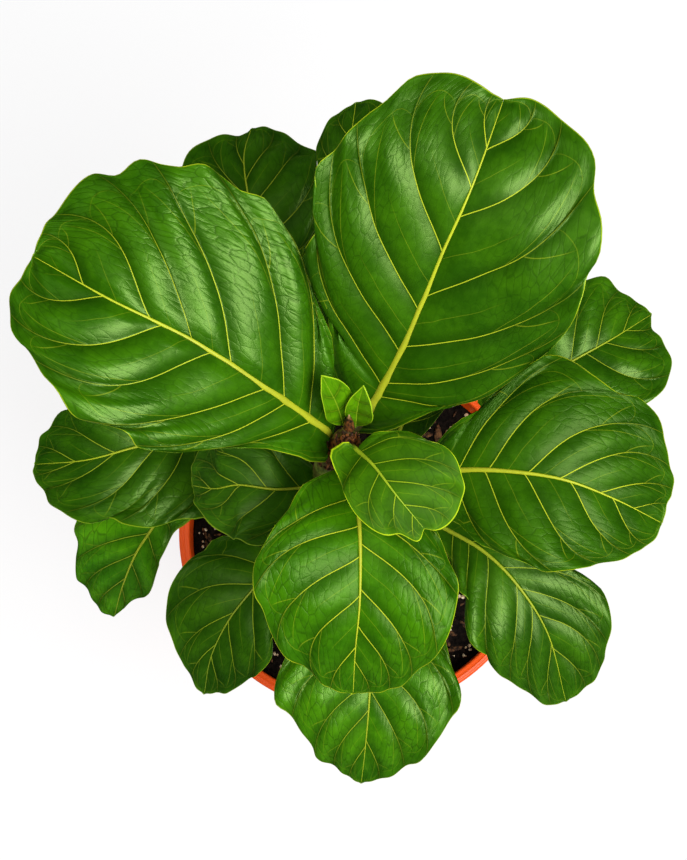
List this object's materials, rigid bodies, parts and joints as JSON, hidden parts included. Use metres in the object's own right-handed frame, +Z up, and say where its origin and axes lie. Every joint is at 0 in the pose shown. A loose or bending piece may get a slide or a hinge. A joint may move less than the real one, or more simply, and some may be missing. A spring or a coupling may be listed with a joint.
{
  "type": "potted fiddle leaf fig",
  "caption": "Young fiddle leaf fig with large, waved, fiddle-shaped leaves on one upright stem, standing in a tapered plastic pot filled with soil.",
  "frame": {"origin": "middle of the pot's base, on the surface that it stands on", "axes": "+Z up along the pot's axis, -Y towards the picture's lower edge, +X towards its right edge"},
  "size_m": [0.3285, 0.3606, 0.6069],
  "materials": {
    "pot": "satin",
    "soil": "matte",
    "stem": "matte",
    "leaf_large": "satin",
    "leaf_dark": "satin",
    "leaf_young": "satin",
    "leaf_tip": "satin",
    "scale": "matte"
  },
  "bodies": {
    "root": {"pot": "pot", "soil": "soil", "stem": "stem", "leaf_upper_left": "leaf_large", "leaf_upper_right": "leaf_large", "leaf_right": "leaf_large", "leaf_lower_right": "leaf_dark", "leaf_front": "leaf_large", "leaf_young": "leaf_young", "leaf_bottom": "leaf_dark", "leaf_lower_left": "leaf_dark", "leaf_left": "leaf_dark", "leaf_far_left": "leaf_dark", "leaf_hanging": "leaf_dark", "leaf_back_left": "leaf_dark", "leaf_back": "leaf_dark", "leaf_back_right": "leaf_dark", "leaf_low_inner": "leaf_dark", "tip_leaf_left": "leaf_tip", "tip_leaf_right": "leaf_tip", "terminal_bud": "scale", "bud_scale_left": "scale", "bud_scale_right": "scale"}
  },
  "joints": []
}
